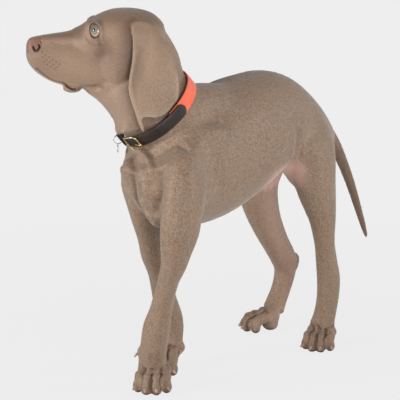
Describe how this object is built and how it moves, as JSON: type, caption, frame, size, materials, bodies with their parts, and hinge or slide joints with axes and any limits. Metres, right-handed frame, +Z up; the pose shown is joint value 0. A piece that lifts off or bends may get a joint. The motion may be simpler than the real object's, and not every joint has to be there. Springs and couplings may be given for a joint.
{
  "type": "standing dog",
  "caption": "Still, life-size young short-haired hound standing in mid-step with its head turned to its right, wearing a buckled collar with a small plain tag.",
  "frame": {"origin": "on the floor under the middle of the whole dog's footprint box", "axes": "+Z up; the trunk faces -Y; the dog's left side is +X"},
  "size_m": [0.271, 0.6444, 0.5461],
  "materials": {
    "coat": "short silver-taupe fur that lies flat, with a soft sheen",
    "iris": "wet, glossy eye with a pale grey-green iris",
    "nose_leather": "pebbled, slightly moist pinkish-brown nose",
    "webbing": "matt woven coral-orange webbing",
    "strap_leather": "satin dark brown leather with stitching",
    "brass": "polished yellow brass",
    "steel": "polished steel"
  },
  "bodies": {
    "root": {"buckle": "brass", "buckle_prong": "brass", "collar_keeper": "strap_leather", "collar_strap": "strap_leather", "collar_stud": "steel", "collar_webbing": "webbing", "ear_left": "coat", "ear_right": "coat", "eye_left": "iris", "eye_right": "iris", "forearm_left": "coat", "forearm_right": "coat", "forepaw_left": "coat", "forepaw_right": "coat", "head": "coat", "hindpaw_left": "coat", "hindpaw_right": "coat", "neck": "coat", "nose": "nose_leather", "shank_left": "coat", "shank_right": "coat", "shoulder_left": "coat", "shoulder_right": "coat", "tag": "steel", "tag_ring": "steel", "tail": "coat", "thigh_left": "coat", "thigh_right": "coat", "trunk": "coat"}
  },
  "joints": []
}
